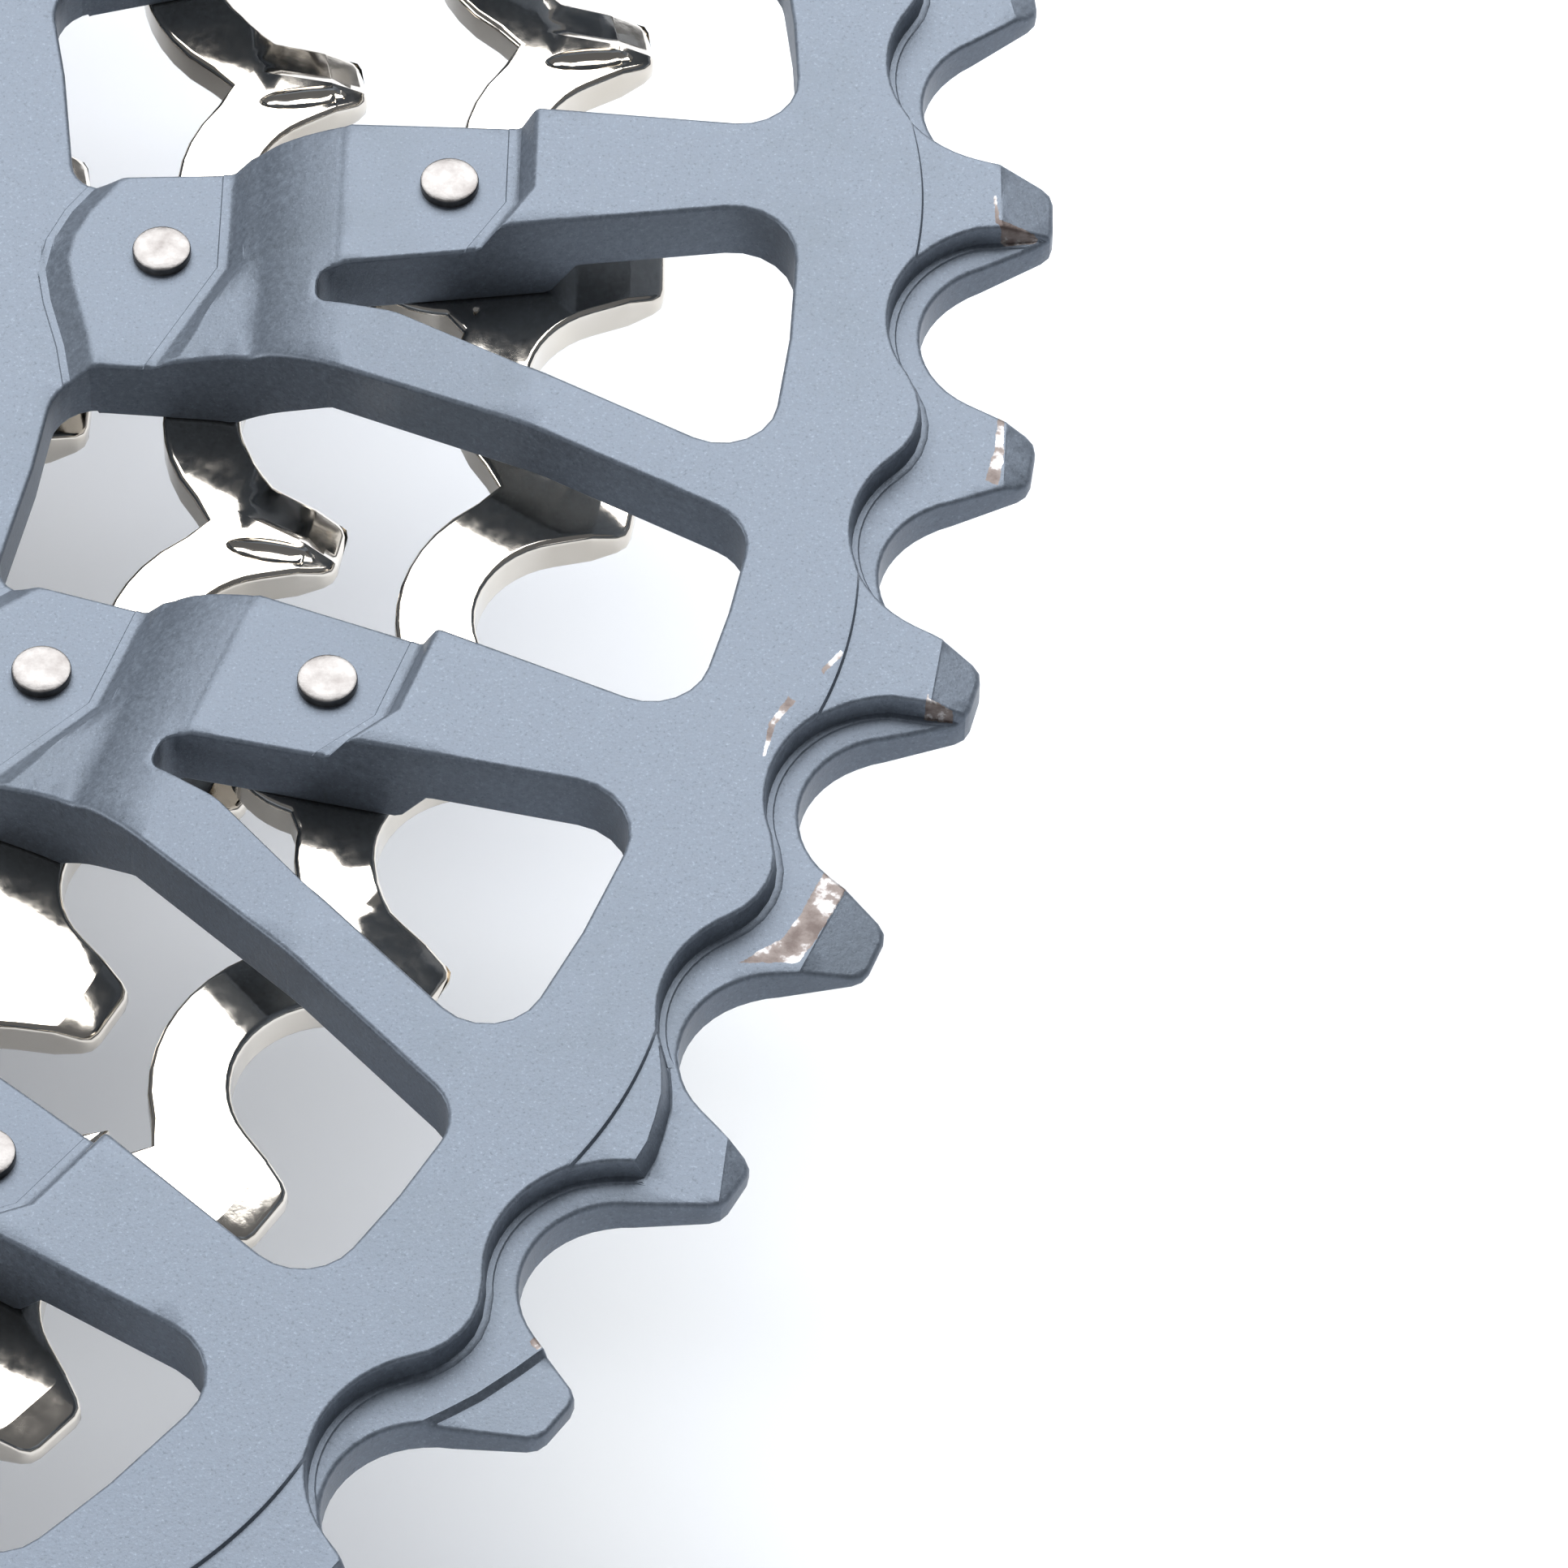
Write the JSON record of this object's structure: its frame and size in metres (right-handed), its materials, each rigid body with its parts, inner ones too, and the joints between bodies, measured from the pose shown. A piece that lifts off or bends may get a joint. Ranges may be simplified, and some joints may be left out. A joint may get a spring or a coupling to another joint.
{
  "type": "bicycle cassette",
  "caption": "Bicycle cassette: a stepped aluminium spider with the largest teeth, riveted nickel-plated rings and a dome of pinned small sprockets with a captive lock sleeve.",
  "frame": {"origin": "on the axis, at the outer end face of the hub nose, where the smallest sprocket is", "axes": "+Z along the axis towards the wheel, from the smallest sprocket to the largest; +X through a gap of the largest sprocket"},
  "size_m": [0.2128, 0.2128, 0.0415],
  "materials": {
    "anodised_spider": "blue-grey hard anodised, bead blasted matt",
    "nickel_steel": "polished nickel plate",
    "rivet_steel": "satin bright steel",
    "carrier_steel": "dark machined steel",
    "sleeve_alloy": "clear anodised, turned",
    "spring_steel": "blackened spring steel"
  },
  "bodies": {
    "cluster": {"sprocket_52_spider": "anodised_spider", "sprocket_44": "nickel_steel", "sprocket_38": "nickel_steel", "sprocket_32": "nickel_steel", "sprocket_28": "nickel_steel", "sprocket_24": "nickel_steel", "sprocket_21": "nickel_steel", "sprocket_18": "nickel_steel", "sprocket_16": "nickel_steel", "sprocket_14": "nickel_steel", "sprocket_12": "nickel_steel", "sprocket_10_nose": "nickel_steel", "rivets_44": "rivet_steel", "rivets_38": "rivet_steel", "rivets_32": "rivet_steel", "driver_carrier": "carrier_steel", "rivets_carrier": "rivet_steel", "pins_32_28": "rivet_steel", "pins_28_24": "rivet_steel", "pins_24_21": "rivet_steel", "pins_21_18": "rivet_steel", "pins_18_16": "rivet_steel", "pins_16_14": "rivet_steel", "pins_14_12": "rivet_steel", "lock_circlip": "spring_steel"},
    "lock_sleeve": {"lock_sleeve": "sleeve_alloy"}
  },
  "joints": [
    {"name": "lock_sleeve_turn", "type": "hinge", "parent": "cluster", "child": "lock_sleeve", "pos_m": [0, 0, 0.0055], "axis": [0, 0, 1], "continuous": true}
  ]
}
